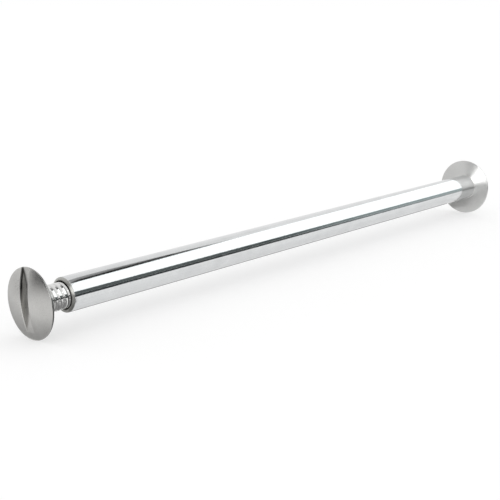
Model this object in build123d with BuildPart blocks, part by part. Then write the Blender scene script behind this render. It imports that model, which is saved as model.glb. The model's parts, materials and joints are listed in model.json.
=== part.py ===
"""Binding barrel screw: a long barrel nut with a domed head, and a short slotted screw that threads into it.

The common axis lies along X, with the screw's head at the -X end and the barrel's head at the +X end.
The part lies on the plane Z = 0 as on a table, and X = 0 is midway along its length. Units are mm.
"""

import os
from math import radians, tan

from build123d import *

INCH = 25.4

# Thread, 10-24 UNC: both pieces are sized from it
pitch = INCH / 24
major_radius = 0.190 * INCH / 2
running_clearance = 0.05

# Barrel: a turned post with its own domed head, bored at the mouth for the screw
barrel_radius = INCH / 8
barrel_length = (5 + 3 / 8) * INCH
barrel_head_radius = 9 / 32 * INCH
barrel_dome = 1.25
bore_radius = major_radius + running_clearance
bore_depth = INCH
drill_point_angle = 118
mouth_chamfer = 0.35
bore_chamfer = 0.12
seat_fillet = 0.2

# Screw: a slotted domed head on a threaded shank
screw_head_radius = INCH / 4
screw_dome = 1.1
shank_length = 5 / 8 * INCH
tip_chamfer = 0.6
slot_width = 5 / 64 * INCH
slot_floor_height = 0.5
slot_floor_tilt = 3
slot_turn = -5

# Both heads: a thin upright rim below the dome, with its edges broken
rim_height = 0.35
rim_edge_radius = 0.12

# As it lies, the screw stands out of the barrel by a whole number of turns
open_turns = 6
closed_gap = 0.05
open_gap = open_turns * pitch + closed_gap

# Stations along the axis, from the screw's crown to the barrel's crown
screw_head_height = rim_height + screw_dome
barrel_head_height = rim_height + barrel_dome
overall_length = screw_head_height + open_gap + barrel_length + barrel_head_height
screw_crown_x = -overall_length / 2
screw_seat_x = screw_crown_x + screw_head_height
screw_rim_x = screw_seat_x - rim_height
shank_tip_x = screw_seat_x + shank_length
mouth_x = screw_seat_x + open_gap
bore_end_x = mouth_x + bore_depth
drill_point_x = bore_end_x + bore_radius / tan(radians(drill_point_angle / 2))
barrel_seat_x = mouth_x + barrel_length
barrel_rim_x = barrel_seat_x + rim_height
barrel_crown_x = barrel_rim_x + barrel_dome

# The larger head carries the part, so its radius sets the height of the axis
axis_height = barrel_head_radius
centre_line = Axis((0, 0, axis_height), (1, 0, 0))
half_section = Plane(origin=(0, 0, axis_height), x_dir=(1, 0, 0), z_dir=(0, -1, 0))


def dome_arc(rim_x, rim_radius, crown_x):
    """The half section of a spherical cap, from the top of the rim to the crown on the axis."""
    dome_height = abs(crown_x - rim_x)
    cap_radius = (rim_radius**2 + dome_height**2) / (2 * dome_height)
    outward = 1 if crown_x > rim_x else -1
    middle_radius = rim_radius / 2
    middle_sag = cap_radius - (cap_radius**2 - middle_radius**2) ** 0.5
    middle = (crown_x - outward * middle_sag, middle_radius)
    return ThreePointArc((rim_x, rim_radius), middle, (crown_x, 0))


def square_faces(piece):
    """The piece's flat faces square to the axis, from the -X end."""
    return piece.faces().filter_by(Plane.YZ).sort_by(Axis.X)


def circles(piece, radius):
    """The piece's circular edges of one radius."""
    return piece.edges().filter_by(lambda e: e.geom_type == GeomType.CIRCLE and abs(e.radius - radius) < 0.001)


# Barrel: shank and head are one turned piece
with BuildPart() as barrel:
    with BuildSketch(half_section):
        with BuildLine():
            Polyline(
                (barrel_crown_x, 0),
                (mouth_x, 0),
                (mouth_x, barrel_radius),
                (barrel_seat_x, barrel_radius),
                (barrel_seat_x, barrel_head_radius),
                (barrel_rim_x, barrel_head_radius),
            )
            dome_arc(barrel_rim_x, barrel_head_radius, barrel_crown_x)
        make_face()
    revolve(axis=centre_line)

    # Blind bore, open at the mouth and ending in a drill point
    with BuildSketch(half_section):
        with BuildLine():
            Polyline(
                (mouth_x, 0),
                (mouth_x, bore_radius),
                (bore_end_x, bore_radius),
                (drill_point_x, 0),
                close=True,
            )
        make_face()
    revolve(axis=centre_line, mode=Mode.SUBTRACT)

    mouth_edges = square_faces(barrel)[0].edges().sort_by(SortBy.RADIUS)
    chamfer(mouth_edges[0], bore_chamfer)
    chamfer(mouth_edges[-1], mouth_chamfer)
    fillet(square_faces(barrel)[-1].edges().sort_by(SortBy.RADIUS)[0], seat_fillet)
    fillet(circles(barrel, barrel_head_radius), rim_edge_radius)

# Screw: head and shank are one piece
with BuildPart() as screw:
    with BuildSketch(half_section):
        with BuildLine():
            Polyline(
                (screw_crown_x, 0),
                (shank_tip_x, 0),
                (shank_tip_x, major_radius),
                (screw_seat_x, major_radius),
                (screw_seat_x, screw_head_radius),
                (screw_rim_x, screw_head_radius),
            )
            dome_arc(screw_rim_x, screw_head_radius, screw_crown_x)
        make_face()
    revolve(axis=centre_line)
    chamfer(square_faces(screw)[-1].edges(), tip_chamfer)
    fillet(circles(screw, screw_head_radius), rim_edge_radius)

    # The driver slot stands nearly upright, with a floor that runs out through the dome at its lower end
    across_slot = Vector(0, 1, 0).rotate(Axis.X, slot_turn)
    slot_floor = Plane(
        origin=(screw_seat_x - slot_floor_height, 0, axis_height), x_dir=across_slot, z_dir=(-1, 0, 0)
    ).rotated((slot_floor_tilt, 0, 0))
    with BuildSketch(slot_floor):
        Rectangle(slot_width, 3 * screw_head_radius)
    extrude(amount=screw_head_height, mode=Mode.SUBTRACT)

barrel.part.label = "barrel"
screw.part.label = "screw"

os.makedirs("parts", exist_ok=True)
export_step(barrel.part, "parts/barrel.step")
export_step(screw.part, "parts/screw.step")
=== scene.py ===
"""Binding barrel screw: fine turned meshes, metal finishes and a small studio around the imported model.

Everything is in metres, in the row frame: the axis lies along X, the screw's head at the -X end.
"""

import json
from math import asin, cos, hypot, pi, radians, sin, tan

import bmesh
import bpy
from mathutils import Matrix, Vector


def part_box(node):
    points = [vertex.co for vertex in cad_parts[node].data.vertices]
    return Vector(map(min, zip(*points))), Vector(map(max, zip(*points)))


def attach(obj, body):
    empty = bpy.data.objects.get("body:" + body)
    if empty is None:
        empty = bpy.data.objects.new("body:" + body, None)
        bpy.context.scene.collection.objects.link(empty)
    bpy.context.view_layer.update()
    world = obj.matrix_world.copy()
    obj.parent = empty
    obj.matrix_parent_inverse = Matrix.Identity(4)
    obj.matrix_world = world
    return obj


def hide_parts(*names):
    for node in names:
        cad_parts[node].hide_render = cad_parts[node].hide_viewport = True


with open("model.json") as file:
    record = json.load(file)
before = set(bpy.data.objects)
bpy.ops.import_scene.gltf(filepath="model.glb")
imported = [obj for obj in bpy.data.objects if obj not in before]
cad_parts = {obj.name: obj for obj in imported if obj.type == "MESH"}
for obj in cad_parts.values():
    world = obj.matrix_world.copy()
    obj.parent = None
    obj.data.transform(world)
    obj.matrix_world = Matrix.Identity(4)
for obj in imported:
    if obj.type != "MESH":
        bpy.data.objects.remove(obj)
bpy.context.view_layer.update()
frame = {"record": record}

MM = 0.001
INCH = 25.4 * MM

# Places that the frame gives
mounts = {m["name"]: m for m in frame["record"]["mounts"]}
barrel_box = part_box("barrel")
screw_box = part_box("screw")
axis_height = mounts["barrel_post"]["pos_m"][2]
barrel_radius = mounts["barrel_post"]["dims"]["r_mm"] * MM
barrel_head_radius = axis_height
mouth_x = barrel_box[0].x
barrel_seat_x = mounts["barrel_seat"]["pos_m"][0]
barrel_crown_x = barrel_box[1].x
screw_seat_x = mounts["screw_seat"]["pos_m"][0]
shank_tip_x = screw_box[1].x

# Thread: 10-24, with wide rounded crests and shallow flanks that open by flank_slope for each unit of depth
pitch = INCH / 24
major_radius = 0.190 * INCH / 2
crest_flat = 0.48 * pitch
root_flat = 0.12 * pitch
flank_slope = tan(radians(48))
thread_depth = (pitch - crest_flat - root_flat) / 2 / flank_slope
crest_edge_radius = 0.1 * MM
root_edge_radius = 1.5 * crest_edge_radius
runout_start = 0.35 * pitch
runout_length = 0.9 * pitch
tip_chamfer = 0.6 * MM

# Heads: a thin rim with broken edges below each dome, and a fillet under the barrel's head
screw_head_radius = INCH / 4
screw_dome = 1.1 * MM
rim_height = 0.35 * MM
rim_edge_radius = 0.12 * MM
seat_fillet = 0.2 * MM
screw_rim_x = screw_seat_x - rim_height
screw_crown_x = screw_rim_x - screw_dome
cap_radius = (screw_head_radius**2 + screw_dome**2) / (2 * screw_dome)

# Barrel's hole: its thread clears the screw's, and it is relieved just inside the mouth
thread_clearance = 0.05 * MM
bore_depth = INCH
bore_chamfer = 0.12 * MM
mouth_chamfer = 0.35 * MM
mouth_edge_radius = 0.05 * MM
mouth_relief = 0.12 * MM
relief_depth = 1.5 * MM
tap_overrun = 0.5 * MM

# Driver slot: its floor leans, and its upper edges are rounded
slot_width = 5 / 64 * INCH
slot_floor_height = 0.5 * MM
slot_floor_tilt = radians(3)
slot_turn = radians(-5)
slot_edge_radius = 0.2 * MM
slot_edge_sweep = radians(80)

# Fineness of the meshes. A dome's rows stop at DOME_REACH of its sweep, to leave room for the rim's edge
TURNED_SEGMENTS = 192
THREAD_SEGMENTS = 96
DOME_ROWS = 40
DOME_REACH = 0.985
SHANK_ROWS = 60
SLOT_ROWS = 96
SLOT_EDGE_STEPS = 6
SHARP_ANGLE = radians(35)

# Distances that count as none: between points to weld, from a plane that cuts, and from one that bounds
WELD = 1e-8
ON_CUT = 1e-9
ON_BOUND = 1e-7


# ---------------------------------------------------------------- outlines

def rounded(corners, radii, steps=4):
    """The open outline through these corners, with each inner corner rounded by its radius."""
    points = [corners[0]]
    for before, corner, after, radius in zip(corners, corners[1:], corners[2:], radii):
        if radius == 0:
            points.append(corner)
            continue
        to_before = (Vector(before) - Vector(corner)).normalized()
        to_after = (Vector(after) - Vector(corner)).normalized()
        half_angle = to_before.angle(to_after) / 2
        centre = Vector(corner) + (to_before + to_after).normalized() * radius / sin(half_angle)
        start = Vector(corner) + to_before * radius / tan(half_angle) - centre
        end = Vector(corner) + to_after * radius / tan(half_angle) - centre
        sweep = start.angle_signed(end)
        for step in range(steps + 1):
            turned = start.copy()
            turned.rotate(Matrix.Rotation(-sweep * step / steps, 2))
            points.append(tuple(centre + turned))
    points.append(corners[-1])
    return points


def dome(rim_x, rim_radius, crown_x):
    """A spherical cap's half section, from its crown on the axis to just inside its rim."""
    height = abs(crown_x - rim_x)
    ball_radius = (rim_radius**2 + height**2) / (2 * height)
    outward = 1 if crown_x > rim_x else -1
    last_angle = asin(rim_radius / ball_radius) * DOME_REACH
    points = []
    for row in range(DOME_ROWS):
        angle = last_angle * row / (DOME_ROWS - 1)
        points.append((crown_x - outward * ball_radius * (1 - cos(angle)), ball_radius * sin(angle)))
    return points


def groove_outline():
    """One pitch of thread, between the middles of two crests, as (distance along, depth below the crest)."""
    flank = thread_depth * flank_slope
    corners = [
        (0, 0),
        (crest_flat / 2, 0),
        (crest_flat / 2 + flank, thread_depth),
        (pitch - crest_flat / 2 - flank, thread_depth),
        (pitch - crest_flat / 2, 0),
        (pitch, 0),
    ]
    radii = [crest_edge_radius, root_edge_radius, root_edge_radius, crest_edge_radius]
    return rounded(corners, radii, steps=3)[:-1]


# ---------------------------------------------------------------- meshes

def new_object(name, bm):
    """An object from a bmesh, with its faces pointing outwards."""
    bmesh.ops.remove_doubles(bm, verts=bm.verts, dist=WELD)
    bmesh.ops.recalc_face_normals(bm, faces=bm.faces)
    mesh = bpy.data.meshes.new(name)
    bm.to_mesh(mesh)
    bm.free()
    piece = bpy.data.objects.new(name, mesh)
    bpy.context.scene.collection.objects.link(piece)
    return piece


def round_axis(x, radius, angle):
    """A point at this station and radius. The angle starts at the top and turns right-handed about +X."""
    return (x, -radius * sin(angle), axis_height + radius * cos(angle))


def revolve(bm, outline):
    """Adds a turned surface to bm. The outline is (x, radius) points, and a point on the axis closes it."""
    rings = []
    for x, radius in outline:
        angles = [2 * pi * k / TURNED_SEGMENTS for k in range(TURNED_SEGMENTS if radius > 0 else 1)]
        rings.append([bm.verts.new(round_axis(x, radius, angle)) for angle in angles])
    for ring, following in zip(rings, rings[1:]):
        for k in range(TURNED_SEGMENTS):
            after = (k + 1) % TURNED_SEGMENTS
            corners = [ring[k % len(ring)], ring[after % len(ring)],
                       following[after % len(following)], following[k % len(following)]]
            corners = list(dict.fromkeys(corners))
            if len(corners) > 2:
                bm.faces.new(corners)


def thread(bm, start_x, end_x, radius_at):
    """Adds a rod with a right-hand helical surface to bm, cut square and left open at both ends.

    radius_at(x, depth) gives the radius at station x for a point that lies depth below the crest. The turns
    are counted from the screw's seat, so that the barrel's thread fits the screw's.
    """
    outline = groove_outline()
    spare_turns = 3
    first_turn = int((start_x - screw_seat_x) / pitch) - spare_turns
    last_turn = int((end_x - screw_seat_x) / pitch) + spare_turns
    rows = []
    for turn in range(first_turn, last_turn):
        for along, depth in outline:
            row_x = screw_seat_x + turn * pitch + along
            row = []
            for k in range(THREAD_SEGMENTS):
                x = row_x + pitch * k / THREAD_SEGMENTS
                row.append(bm.verts.new(round_axis(x, radius_at(x, depth), 2 * pi * k / THREAD_SEGMENTS)))
            rows.append(row)
    per_turn = len(outline)
    for i in range(len(rows) - per_turn - 1):
        for k in range(THREAD_SEGMENTS):
            # The last face of each row joins the row that is one turn on
            shift = per_turn if k == THREAD_SEGMENTS - 1 else 0
            after = (k + 1) % THREAD_SEGMENTS
            bm.faces.new((rows[i][k], rows[i + shift][after], rows[i + 1 + shift][after], rows[i + 1][k]))
    for x, side in ((start_x, -1), (end_x, 1)):
        everything = bm.verts[:] + bm.edges[:] + bm.faces[:]
        bmesh.ops.bisect_plane(
            bm, geom=everything, dist=ON_CUT, plane_co=(x, 0, 0), plane_no=(side, 0, 0), clear_outer=True
        )


def open_edges(bm, x):
    """The open edges at this station."""
    return [e for e in bm.edges if e.is_boundary and all(abs(v.co.x - x) < ON_BOUND for v in e.verts)]


def cut_out(piece, tool):
    """Cuts the tool's shape out of the piece, and removes the tool."""
    cut = piece.modifiers.new("cut", "BOOLEAN")
    cut.operation = "DIFFERENCE"
    cut.object = tool
    cut.solver = "EXACT"
    bpy.context.view_layer.update()
    result = bpy.data.meshes.new_from_object(piece.evaluated_get(bpy.context.evaluated_depsgraph_get()))
    piece.modifiers.clear()
    piece.data = result
    bpy.data.objects.remove(tool)


def smooth(piece):
    """Smooth shading, with the edges that turn by more than SHARP_ANGLE left sharp."""
    bm = bmesh.new()
    bm.from_mesh(piece.data)
    bmesh.ops.dissolve_degenerate(bm, edges=bm.edges, dist=WELD)
    for face in bm.faces:
        face.smooth = True
    for edge in bm.edges:
        edge.smooth = edge.is_manifold and edge.calc_face_angle(0) < SHARP_ANGLE
    bm.to_mesh(piece.data)
    bm.free()


def screw_radius(x, depth):
    """The screw's thread: it fades out under the head and is chamfered at the tip."""
    fade = min(max((x - screw_seat_x - runout_start) / runout_length, 0), 1)
    chamfered = major_radius - tip_chamfer + max(shank_tip_x - x, 0)
    return min(major_radius - depth * fade, chamfered)


def tap_radius(x, depth):
    """What the barrel's hole takes away: a thread that ends in a plain relief and a chamfer at the mouth."""
    bore_radius = major_radius + thread_clearance
    opening = bore_radius + mouth_relief + bore_chamfer - max(x - mouth_x, 0)
    relief = bore_radius + mouth_relief - max(x - mouth_x - relief_depth, 0)
    return max(bore_radius - depth, opening, relief)


def dome_x(radius):
    """The station of the screw's dome at this radius, level with its rim's top outside it."""
    radius = min(radius, screw_head_radius)
    return screw_crown_x + cap_radius - (cap_radius**2 - radius**2) ** 0.5


def slot_section(along):
    """The slot's section at this distance along it, as (x, across) points, with round flares at its top.

    Where the floor has run out of the dome, each point of a flare still lies a hair above the one before, so
    that the section never crosses itself.
    """
    hair = 0.001 * MM
    flare = 0.01 * MM
    floor_x = screw_seat_x - slot_floor_height + along * tan(slot_floor_tilt)
    edge_x = dome_x(hypot(slot_width / 2, along))
    side = []
    for step in range(SLOT_EDGE_STEPS + 1):
        angle = slot_edge_sweep * step / SLOT_EDGE_STEPS
        x = edge_x + slot_edge_radius * (1 - sin(angle))
        across = slot_width / 2 + slot_edge_radius * (1 - cos(angle))
        side.append((min(x, floor_x - hair * (step + 1)), across))
    side.append((screw_crown_x - screw_dome, side[-1][1] + flare))
    half = [(floor_x, slot_width / 2)] + side
    return half + [(x, -across) for x, across in reversed(half)]


def make_slot_cutter():
    reach = 1.3 * screw_head_radius
    bm = bmesh.new()
    sections = []
    for row in range(SLOT_ROWS + 1):
        along = (2 * row / SLOT_ROWS - 1) * reach
        section = []
        for x, across in slot_section(along):
            y = across * cos(slot_turn) - along * sin(slot_turn)
            z = across * sin(slot_turn) + along * cos(slot_turn)
            section.append(bm.verts.new((x, y, axis_height + z)))
        sections.append(section)
    for section, following in zip(sections, sections[1:]):
        for k in range(len(section)):
            after = (k + 1) % len(section)
            bm.faces.new((section[k], section[after], following[after], following[k]))
    bm.faces.new(sections[0])
    bm.faces.new(sections[-1])
    return new_object("slot_cutter", bm)


def make_screw():
    """The threaded shank and the head, joined by a flat ring under the head, with the slot cut out."""
    bm = bmesh.new()
    thread(bm, screw_seat_x, shank_tip_x, screw_radius)
    bmesh.ops.holes_fill(bm, edges=open_edges(bm, shank_tip_x))
    crown = dome(screw_rim_x, screw_head_radius, screw_crown_x)
    ring_radius = 1.5 * major_radius
    rim = [(screw_rim_x, screw_head_radius), (screw_seat_x, screw_head_radius), (screw_seat_x, ring_radius)]
    revolve(bm, crown[:1] + rounded(crown[1:] + rim, [0] * (len(crown) - 2) + [rim_edge_radius] * 2))
    bmesh.ops.triangle_fill(bm, edges=open_edges(bm, screw_seat_x), use_beauty=True)
    screw = new_object("screw_metalwork", bm)
    cut_out(screw, make_slot_cutter())
    smooth(screw)
    return screw


def make_barrel():
    """The shank and the head in one turned piece, with the tapped hole cut out."""
    rim_x = barrel_seat_x + rim_height
    crown = dome(rim_x, barrel_head_radius, barrel_crown_x)
    ring_radius = 0.5 * barrel_radius
    rows = [mouth_x + (barrel_seat_x - mouth_x) * k / SHANK_ROWS for k in range(1, SHANK_ROWS)]
    corners = (
        [(mouth_x, ring_radius), (mouth_x, barrel_radius - mouth_chamfer)]
        + [(mouth_x + mouth_chamfer, barrel_radius)]
        + [(x, barrel_radius) for x in rows]
        + [(barrel_seat_x, barrel_radius), (barrel_seat_x, barrel_head_radius), (rim_x, barrel_head_radius)]
        + crown[:0:-1]
    )
    radii = (
        [mouth_edge_radius] * 2
        + [0] * len(rows)
        + [seat_fillet, rim_edge_radius, rim_edge_radius]
        + [0] * (len(crown) - 2)
    )
    bm = bmesh.new()
    revolve(bm, [(mouth_x, 0)] + rounded(corners, radii) + [(barrel_crown_x, 0)])
    barrel = new_object("barrel_metalwork", bm)
    bm = bmesh.new()
    thread(bm, mouth_x - tap_overrun, mouth_x + bore_depth, tap_radius)
    bmesh.ops.holes_fill(bm, edges=[e for e in bm.edges if e.is_boundary])
    cut_out(barrel, new_object("tap", bm))
    smooth(barrel)
    return barrel


# ---------------------------------------------------------------- finishes, with painted shade

# The mean of the three noises that tone the metal mostly stays within this range
TONE_RANGE = (0.36, 0.64)
CLOUD_SCALE = 260.0
SPECKLE_SCALE = 5200.0
# Drawn tool marks change along the axis at this share of their rate across it
DRAWN_STRETCH = 0.02
# A quarter turn lays the stretched highlight across the turned lines
QUARTER_TURN = 0.25

# Weights by axis for a distance from a line along X, and for one from a point
FROM_LINE = (0, 1, 1)
FROM_POINT = (1, 1, 1)

# How far inside a surface a face's centre lies before it counts as a face of what is cut into the surface
DOME_MARGIN = 0.004 * MM
SEAT_MARGIN = 0.01 * MM
TURNED_MARGIN = 0.02 * MM
# A face of the slot whose normal has this much of it along X is part of the floor
FLOOR_NORMAL = 0.97
RIM_BAND = 1.2 * rim_edge_radius


def node(tree, kind, inputs=None, **settings):
    """A shader node. inputs sets or links its sockets, by name or number."""
    made = tree.nodes.new("ShaderNode" + kind)
    for key, value in settings.items():
        setattr(made, key, value)
    for key, value in (inputs or {}).items():
        if isinstance(value, bpy.types.NodeSocket):
            tree.links.new(value, made.inputs[key])
        else:
            made.inputs[key].default_value = value
    return made


def number(tree, operation, *values):
    """The number that a Math node makes of these values."""
    return node(tree, "Math", dict(enumerate(values)), operation=operation).outputs["Value"]


def vector(tree, operation, *values):
    """The vector that a VectorMath node makes of these values."""
    return node(tree, "VectorMath", dict(enumerate(values)), operation=operation).outputs["Vector"]


def length(tree, value):
    return node(tree, "VectorMath", {0: value}, operation="LENGTH").outputs["Value"]


def noise(tree, place, scale, detail):
    return node(tree, "TexNoise", {"Vector": place, "Scale": scale, "Detail": detail}).outputs["Fac"]


def ramp(tree, value, stops):
    """A colour ramp over (position, colour) stops."""
    made = node(tree, "ValToRGB", {"Fac": value})
    elements = made.color_ramp.elements
    while len(elements) < len(stops):
        elements.new(0.5)
    for element, (position, colour) in zip(elements, stops):
        element.position = position
        element.color = (*colour, 1)
    return made.outputs["Color"]


def mapped(tree, value, source, target):
    """value, moved from the source range to the target range and held within it."""
    made = node(tree, "MapRange", {"Value": value, "From Min": source[0], "From Max": source[1],
                                   "To Min": target[0], "To Max": target[1]})
    return made.outputs["Result"]


# Painted shade: darkens a colour by distance and height, where shade falls on the metal
def painted_shade(tree, place, colour, centre, weights, reach, left, heights=None):
    """colour, darkened by painted shade that depends on the distance from centre, weighted by axis.

    reach is (unshaded distance, shaded distance), and left is the share of the colour left where it is fully
    shaded.
    heights is (height, height): the painted shade is gone at the first and full at the second.
    """
    offset = vector(tree, "MULTIPLY", vector(tree, "SUBTRACT", place, centre), weights)
    unshaded_at, shaded_at = reach
    kept = mapped(tree, length(tree, offset), (shaded_at, unshaded_at), (left, 1))
    if heights:
        height = node(tree, "SeparateXYZ", {0: place}).outputs["Z"]
        kept = number(tree, "MAXIMUM", kept, mapped(tree, height, heights, (1, 0)))
    return vector(tree, "MULTIPLY", colour, kept)


def metal(name, tones, roughness, lines, line_scale, line_depth, grain_depth, anisotropic=0.0, shade_paint=None):
    """Bare metal, clouded and speckled between two tones and two roughnesses.

    lines says how its tool marks run: "turned" round the axis or "drawn" along it. The last argument, when
    given, holds what the painted-shade function takes, to darken the colour with painted shade.
    """
    material = bpy.data.materials.new(name)
    material.use_nodes = True
    tree = material.node_tree
    shader = tree.nodes["Principled BSDF"]
    shader.inputs["Metallic"].default_value = 1
    place = node(tree, "TexCoord").outputs["Object"]
    centred = vector(tree, "SUBTRACT", place, (0, 0, axis_height))
    if lines == "turned":
        radius = length(tree, vector(tree, "MULTIPLY", centred, FROM_LINE))
        across_lines = node(tree, "CombineXYZ", {"X": radius}).outputs["Vector"]
    else:
        across_lines = vector(tree, "MULTIPLY", centred, (DRAWN_STRETCH, 1, 1))
    marks = noise(tree, across_lines, line_scale, 3.0)
    cloud = noise(tree, centred, CLOUD_SCALE, 4.0)
    speckle = noise(tree, centred, SPECKLE_SCALE, 2.0)
    tone = number(tree, "DIVIDE", number(tree, "ADD", number(tree, "ADD", cloud, marks), speckle), 3.0)
    colour = ramp(tree, tone, list(zip(TONE_RANGE, tones)))
    # Painted shade on the metal's colour, where shade and dark reflections fall
    if shade_paint:
        colour = painted_shade(tree, place, colour, **shade_paint)
    tree.links.new(colour, shader.inputs["Base Color"])
    tree.links.new(mapped(tree, tone, TONE_RANGE, roughness), shader.inputs["Roughness"])
    grain = node(tree, "Bump", {"Height": speckle, "Distance": grain_depth, "Strength": 1.0})
    relief = node(tree, "Bump", {"Height": marks, "Distance": line_depth, "Strength": 1.0,
                                 "Normal": grain.outputs["Normal"]})
    tree.links.new(relief.outputs["Normal"], shader.inputs["Normal"])
    if anisotropic:
        shader.inputs["Anisotropic"].default_value = anisotropic
        shader.inputs["Anisotropic Rotation"].default_value = QUARTER_TURN
        tangent = node(tree, "Tangent", direction_type="RADIAL", axis="X")
        tree.links.new(tangent.outputs["Tangent"], shader.inputs["Tangent"])
    return material


def dress(piece, choose, materials):
    """Gives each face the material that choose(centre, normal) names."""
    names = list(materials)
    for name in names:
        piece.data.materials.append(materials[name])
    for face in piece.data.polygons:
        face.material_index = names.index(choose(face.center, face.normal))


def from_axis(point):
    return hypot(point.y, point.z - axis_height)


def screw_finish(centre, normal):
    """The slot's walls and round edges have a finish of their own, with painted shade on their upper part.
    Its floor is finished as the dome is.
    """
    if centre.x > screw_seat_x + SEAT_MARGIN:
        return "thread"
    radius = from_axis(centre)
    across_slot = centre.y * cos(slot_turn) + (centre.z - axis_height) * sin(slot_turn)
    in_slot = (
        abs(across_slot) < slot_width / 2 + slot_edge_radius
        and centre.x > dome_x(radius) + DOME_MARGIN
        and radius < screw_head_radius - TURNED_MARGIN
    )
    if in_slot and abs(normal.x) < FLOOR_NORMAL:
        return "slot"
    if radius > screw_head_radius - RIM_BAND:
        return "rim"
    return "satin"


def barrel_finish(centre, normal):
    if centre.x > barrel_seat_x - seat_fillet - SEAT_MARGIN:
        return "head"
    if from_axis(centre) < barrel_radius - TURNED_MARGIN and centre.x < mouth_x + bore_depth + MM:
        return "bore"
    return "shank"


# ---------------------------------------------------------------- the two pieces

screw = make_screw()
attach(screw, "screw")
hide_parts("screw")

barrel = make_barrel()
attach(barrel, "barrel")
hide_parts("barrel")

dress(screw, screw_finish, {
    "satin": metal(
        "satin_head", ((0.455, 0.45, 0.435), (0.605, 0.60, 0.585)), (0.26, 0.36), "turned", 9000.0,
        line_depth=0.004 * MM, grain_depth=0.005 * MM, anisotropic=0.3,
    ),
    # Painted shade: the slot's walls darken towards the dome, from the axis upwards
    "slot": metal(
        "sawn_slot", ((0.62, 0.615, 0.59), (0.72, 0.71, 0.69)), (0.12, 0.2), "drawn", 3000.0,
        line_depth=0.002 * MM, grain_depth=0.002 * MM,
        shade_paint={
            "centre": (screw_crown_x + cap_radius, 0, axis_height),
            "weights": FROM_POINT,
            "reach": (cap_radius - 0.5 * MM, cap_radius - 0.35 * MM),
            "left": 0.12,
            "heights": (axis_height - 0.3 * MM, axis_height + 3 * MM),
        },
    ),
    # The rim has a painted dark reflection along its edge, which fades out towards the bottom
    "rim": metal(
        "turned_rim", ((0.58, 0.575, 0.56), (0.68, 0.675, 0.66)), (0.12, 0.2), "turned", 9000.0,
        line_depth=0.002 * MM, grain_depth=0.002 * MM,
        shade_paint={
            "centre": (0, 0, axis_height),
            "weights": FROM_LINE,
            "reach": (screw_head_radius - 0.06 * MM, screw_head_radius - 0.01 * MM),
            "left": 0.45,
            "heights": (axis_height - 3 * MM, axis_height - 0.5 * MM),
        },
    ),
    # Painted shade: the thread darkens towards its roots, where shade falls between the turns
    "thread": metal(
        "rolled_thread", ((0.70, 0.70, 0.69), (0.80, 0.80, 0.79)), (0.04, 0.09), "turned", 6000.0,
        line_depth=0.001 * MM, grain_depth=0.001 * MM,
        shade_paint={
            "centre": (0, 0, axis_height),
            "weights": FROM_LINE,
            "reach": (major_radius - 0.05 * MM, major_radius - thread_depth),
            "left": 0.8,
        },
    ),
})
dress(barrel, barrel_finish, {
    "shank": metal(
        "bright_shank", ((0.63, 0.64, 0.645), (0.765, 0.775, 0.78)), (0.06, 0.14), "drawn", 1500.0,
        line_depth=0.0004 * MM, grain_depth=0.0025 * MM,
    ),
    "head": metal(
        "turned_head", ((0.58, 0.58, 0.57), (0.70, 0.70, 0.69)), (0.28, 0.38), "turned", 9000.0,
        line_depth=0.0015 * MM, grain_depth=0.001 * MM, anisotropic=0.8,
    ),
    "bore": metal(
        "cut_mouth", ((0.36, 0.36, 0.34), (0.48, 0.48, 0.46)), (0.25, 0.4), "turned", 9000.0,
        line_depth=0.003 * MM, grain_depth=0.002 * MM,
    ),
})


# ---------------------------------------------------------------- studio

def plain(name, colour, strength=None):
    """A plain stage material: a matt colour, or a glow if a strength is given."""
    material = bpy.data.materials.new(name)
    material.use_nodes = True
    tree = material.node_tree
    tree.nodes.remove(tree.nodes["Principled BSDF"])
    if strength is None:
        shader = node(tree, "BsdfDiffuse", {"Color": (*colour, 1)})
    else:
        shader = node(tree, "Emission", {"Color": (*colour, 1), "Strength": strength})
    tree.links.new(shader.outputs[0], tree.nodes["Material Output"].inputs["Surface"])
    return material


def grey(level, tint=1.0):
    """A grey of this level, with its red scaled by tint."""
    return (level * tint, level, level)


def faded(name, direction, stops):
    """A glow whose colour changes along a direction of the frame, through (distance, colour) stops."""
    material = plain(name, (1, 1, 1), 1.0)
    tree = material.node_tree
    place = node(tree, "TexCoord").outputs["Object"]
    along = node(tree, "VectorMath", {0: place, 1: direction}, operation="DOT_PRODUCT").outputs["Value"]
    first, last = stops[0][0], stops[-1][0]
    stops = [((distance - first) / (last - first), colour) for distance, colour in stops]
    colour = ramp(tree, mapped(tree, along, (first, last), (0, 1)), stops)
    tree.links.new(colour, tree.nodes["Emission"].inputs["Color"])
    return material


def card(name, corners, material, solid=False):
    """A flat stage card through its corners. Only the metal shows it, unless it is solid."""
    mesh = bpy.data.meshes.new(name)
    mesh.from_pydata(corners, [], [range(len(corners))])
    mesh.materials.append(material)
    made = bpy.data.objects.new(name, mesh)
    bpy.context.scene.collection.objects.link(made)
    made.visible_camera = solid
    made.visible_diffuse = solid
    made.visible_shadow = solid


# The floor touches both heads' rims, so it leans by a fraction of a degree
floor_reach = 40.0
floor_grey = 0.60
floor_rise = (barrel_head_radius - screw_head_radius) / (barrel_seat_x - screw_seat_x)


def above_floor(x, y, height=0.0):
    """A point at this height above the floor."""
    return (x, y, floor_rise * (barrel_seat_x - x) + height)


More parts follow.
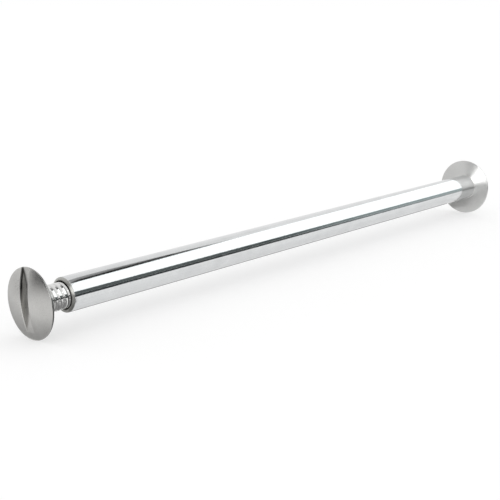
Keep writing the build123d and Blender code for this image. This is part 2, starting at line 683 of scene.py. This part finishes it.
# The camera and the metal see the floor lifted to white, and it lights the part as a pale grey
floor_lift = 0.44
floor_material = plain("pale_floor", grey(floor_grey))
tree = floor_material.node_tree
ray = node(tree, "LightPath").outputs
lifted = number(tree, "MAXIMUM", ray["Is Camera Ray"], ray["Is Glossy Ray"])
lifted = number(tree, "MAXIMUM", lifted, ray["Is Transmission Ray"])
lift = mapped(tree, lifted, (0, 1), (0, floor_lift))
glow = node(tree, "Emission", {"Color": (1, 1, 1, 1), "Strength": lift})
both = node(tree, "AddShader", {0: tree.nodes["Diffuse BSDF"].outputs[0], 1: glow.outputs[0]})
tree.links.new(both.outputs[0], tree.nodes["Material Output"].inputs["Surface"])
card("floor", [
    above_floor(-floor_reach, -floor_reach), above_floor(floor_reach, -floor_reach),
    above_floor(floor_reach, floor_reach), above_floor(-floor_reach, floor_reach),
], floor_material, solid=True)

# An even white sky, a shade weaker than the white that the camera sees
sky_strength = 0.95
world = bpy.data.worlds.new("studio")
bpy.context.scene.world = world
world.use_nodes = True
tree = world.node_tree
sky = tree.nodes["Background"]
sky.inputs["Color"].default_value = (1, 1, 1, 1)
seen = node(tree, "LightPath").outputs["Is Camera Ray"]
tree.links.new(mapped(tree, seen, (0, 1), (sky_strength, 1.0)), sky.inputs["Strength"])

# Beyond the barrel's head, the shank mirrors a broad panel with darker cards above and below it
backdrop = 2.0


def beyond(y, z):
    """A point on the upright plane beyond the barrel's head, in parts of that plane's distance."""
    return (backdrop, y * backdrop, axis_height + z * backdrop)


card("key_panel", [
    beyond(-0.5, 0.13), beyond(-1.9, 0.77), beyond(-1.9, 1.6), beyond(-0.45, 1.6), beyond(0.17, 0.97),
    beyond(0.33, 0.5), beyond(0.33, 0.1),
], plain("key_glow", (0.97, 1, 1), 1.55))
card("upper_flag", [
    beyond(-0.35, 1.75), beyond(-0.28, 1.45), beyond(0.12, 1.0), beyond(0.6, 1.2), beyond(0.4, 1.75),
], faded("upper", (0, 0.66, 0.75), [(1.06 * backdrop, grey(0.03)), (1.24 * backdrop, grey(0.40))]))
card("horizon_flag", [
    beyond(-0.24, 0.0), beyond(-1.95, 0.0), beyond(-1.95, 0.78), beyond(-0.24, 0.003),
], faded("horizon", (0, 1, 0), [
    (-0.98 * backdrop, grey(0.13, 0.88)), (-0.94 * backdrop, grey(0.06, 0.85)),
    (-0.86 * backdrop, grey(0.16, 0.85)), (-0.62 * backdrop, grey(0.50, 0.85)),
]))


def floor_card(name, corners, material):
    """A card that lies just above the floor, through its (x, y) corners."""
    gap = 0.3 * MM
    card(name, [above_floor(x, y, gap) for x, y in corners], material)


# In front of the part, the metal mirrors a darker floor
front_edge = -33 * MM
floor_card("front_flag", [
    (-0.4, -2.9), (2.5, -2.9), (2.5, front_edge), (-0.4, front_edge),
], faded("front", (1, 1, 0), [(0, grey(0.05, 0.88)), (90 * MM, grey(0.46, 0.9))]))
floor_card("corner_flag", [
    (-0.4, front_edge), (-76 * MM, front_edge), (-76 * MM, -10 * MM), (-0.4, -10 * MM),
], plain("corner", (1, 1, 1), 0.5))

# Behind the part, it mirrors a floor that dims towards the part: the part's soft shadow, painted on cards
# that only the metal sees
floor_card("near_floor", [
    (-0.6, -9 * MM), (-70 * MM, -9 * MM), (-70 * MM, 1 * MM), (-62 * MM, 1 * MM), (-62 * MM, 28 * MM),
    (-0.6, 28 * MM),
], faded("behind_near", (-1, 0.15, 0), [(73.5 * MM, grey(0.50)), (83 * MM, grey(1.0))]))
floor_card("left_floor", [
    (-0.6, 28 * MM), (-62 * MM, 28 * MM), (-62 * MM, 0.6), (-0.6, 0.6),
], plain("left_behind", (1, 1, 1), 0.80))
floor_card("back_floor", [
    (-62 * MM, 1 * MM), (68 * MM, 1 * MM), (0.6, 0.6), (-62 * MM, 0.6),
], faded("behind_far", (0, 1, 0), [(6 * MM, grey(0.28)), (26 * MM, grey(0.90))]))

# Beyond the screw's head stand a dark card and, nearer the camera's side, a lamp
flag_low, flag_high = 12 * MM, 160 * MM
card("left_flag", [
    above_floor(-0.2, -30 * MM, flag_low), above_floor(-0.2, 130 * MM, flag_low),
    above_floor(-0.2, 130 * MM, flag_high), above_floor(-0.2, -30 * MM, flag_high),
], plain("flag", (0.03, 0.03, 0.032)))
card("side_panel", [
    (-0.25, -170 * MM, 30 * MM), (-0.25, -30 * MM, 30 * MM),
    (-0.25, -30 * MM, 150 * MM), (-0.25, -170 * MM, 150 * MM),
], plain("side_glow", (1, 1, 1), 2.6))

# The floor in front of the thread is darker still
floor_card("thread_shade", [
    (-70 * MM, 0.5 * MM), (-63 * MM, 0.5 * MM), (-61.7 * MM, -5 * MM), (-59.8 * MM, -8.7 * MM),
    (-56.9 * MM, -14.6 * MM), (-49 * MM, -30 * MM), (-76 * MM, -30 * MM), (-76 * MM, -10 * MM),
    (-70 * MM, -9.5 * MM),
], plain("shade", (1, 1, 1), 0.26))

# A lamp that only the barrel's head sees: its back lets light through, and so does its front from nearby
streak_station = -40 * MM
streak_near = 90 * MM
streak = plain("streak_glow", (1, 1, 1), 16.0)
tree = streak.node_tree
nearby = number(tree, "LESS_THAN", node(tree, "LightPath").outputs["Ray Length"], streak_near)
hidden = number(tree, "MAXIMUM", nearby, node(tree, "NewGeometry").outputs["Backfacing"])
from_afar = node(tree, "MixShader", {
    0: hidden, 1: tree.nodes["Emission"].outputs[0], 2: node(tree, "BsdfTransparent").outputs[0],
})
tree.links.new(from_afar.outputs[0], tree.nodes["Material Output"].inputs["Surface"])
card("streak_panel", [(streak_station, y * MM, z * MM) for y, z in (
    (-13, 30), (3, 18.5), (22, 8.5), (31, 16), (16, 32), (-5, 41),
)], streak)


# ---------------------------------------------------------------- camera

azimuth, elevation = radians(-48.1), radians(14.34)
distance = 0.21543
aim = Vector((-8.1 * MM, 7.5 * MM, 3.1 * MM))
towards = Vector((sin(azimuth) * cos(elevation), -cos(azimuth) * cos(elevation), sin(elevation)))
camera_data = bpy.data.cameras.new("camera")
camera_data.lens = 70.1
camera_data.clip_start = 1 * MM
camera = bpy.data.objects.new("camera", camera_data)
bpy.context.scene.collection.objects.link(camera)
camera.location = aim + towards * distance
camera.rotation_euler = towards.to_track_quat("Z", "Y").to_euler()
bpy.context.scene.camera = camera
bpy.context.scene.view_settings.view_transform = "Standard"
